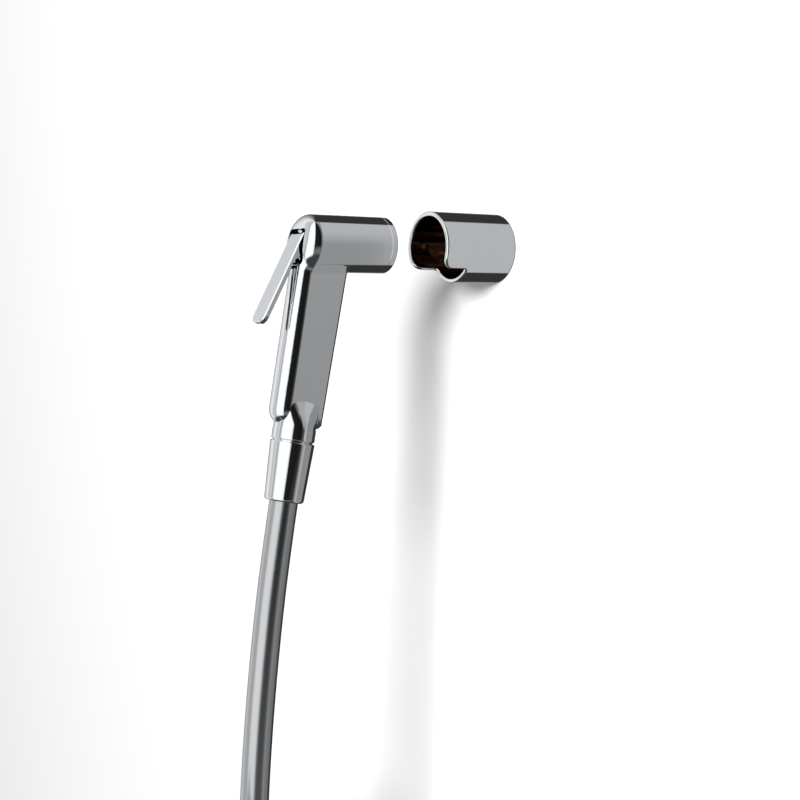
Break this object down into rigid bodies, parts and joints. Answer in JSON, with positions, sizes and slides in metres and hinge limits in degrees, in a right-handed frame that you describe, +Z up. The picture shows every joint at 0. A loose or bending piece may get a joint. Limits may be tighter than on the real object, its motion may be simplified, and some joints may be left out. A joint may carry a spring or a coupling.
{
  "type": "handheld bidet shower",
  "caption": "Leaning trigger handset with a lever valve and spray head, on a flexible hose, drawn out of its cup-shaped wall holder.",
  "frame": {"origin": "centre of the holder's screw hole on the wall plane", "axes": "+Y into the wall along the holder's axis, +Z up, +X to the right when facing the wall"},
  "size_m": [0.0633, 0.3171, 0.4779],
  "materials": {
    "chrome": "polished chrome plate on brass",
    "brass": "machined brass",
    "stainless_steel": "drawn stainless steel",
    "seal_rubber": "matt black rubber",
    "white_plastic": "moulded plastic",
    "hose_skin": "satin silver-grey plastic",
    "tie_plastic": "soft matt plastic"
  },
  "bodies": {
    "holder": {"wall_holder": "chrome"},
    "handset": {"handset_body": "chrome", "lever_pin": "chrome", "stem_guide": "brass", "stem_o_ring": "seal_rubber", "valve_seat": "brass", "seat_o_ring": "seal_rubber", "return_spring": "stainless_steel", "spring_carrier": "white_plastic", "ring_gasket": "seal_rubber", "spray_plate": "white_plastic", "spray_ring": "chrome", "inlet_filter": "stainless_steel", "hose_washer": "seal_rubber", "upper_ferrule": "brass", "hose_nut": "chrome", "hose": "hose_skin", "hose_coil": "hose_skin", "hose_tail": "hose_skin", "hose_tie": "tie_plastic", "lower_ferrule": "brass", "supply_washer": "seal_rubber"},
    "lever": {"lever": "chrome"},
    "plunger": {"valve_stem": "stainless_steel", "valve_washer": "seal_rubber"},
    "supply_nut": {"supply_nut": "chrome"}
  },
  "joints": [
    {"name": "dock", "type": "slide", "parent": "holder", "child": "handset", "axis": [0, 1, 0], "range_m": [0, 0.0695]},
    {"name": "lever_hinge", "type": "hinge", "parent": "handset", "child": "lever", "pos_m": [0, -0.1195, 0.0034], "axis": [1, 0, 0], "range_deg": [0, 10], "stiffness_Nm_per_rad": 0.15, "springref_deg": -14.32},
    {"name": "valve_travel", "type": "slide", "parent": "handset", "child": "plunger", "axis": [0, 1, 0], "range_m": [0, 0.00115], "deforming": ["return_spring"]},
    {"name": "supply_nut_spin", "type": "hinge", "parent": "handset", "child": "supply_nut", "pos_m": [0.03, -0.158, -0.448], "axis": [0, 0, 1], "continuous": true}
  ],
  "couplings": [
    {"joint": "valve_travel", "follows": "lever_hinge", "m_per_rad": 0.0064}
  ]
}
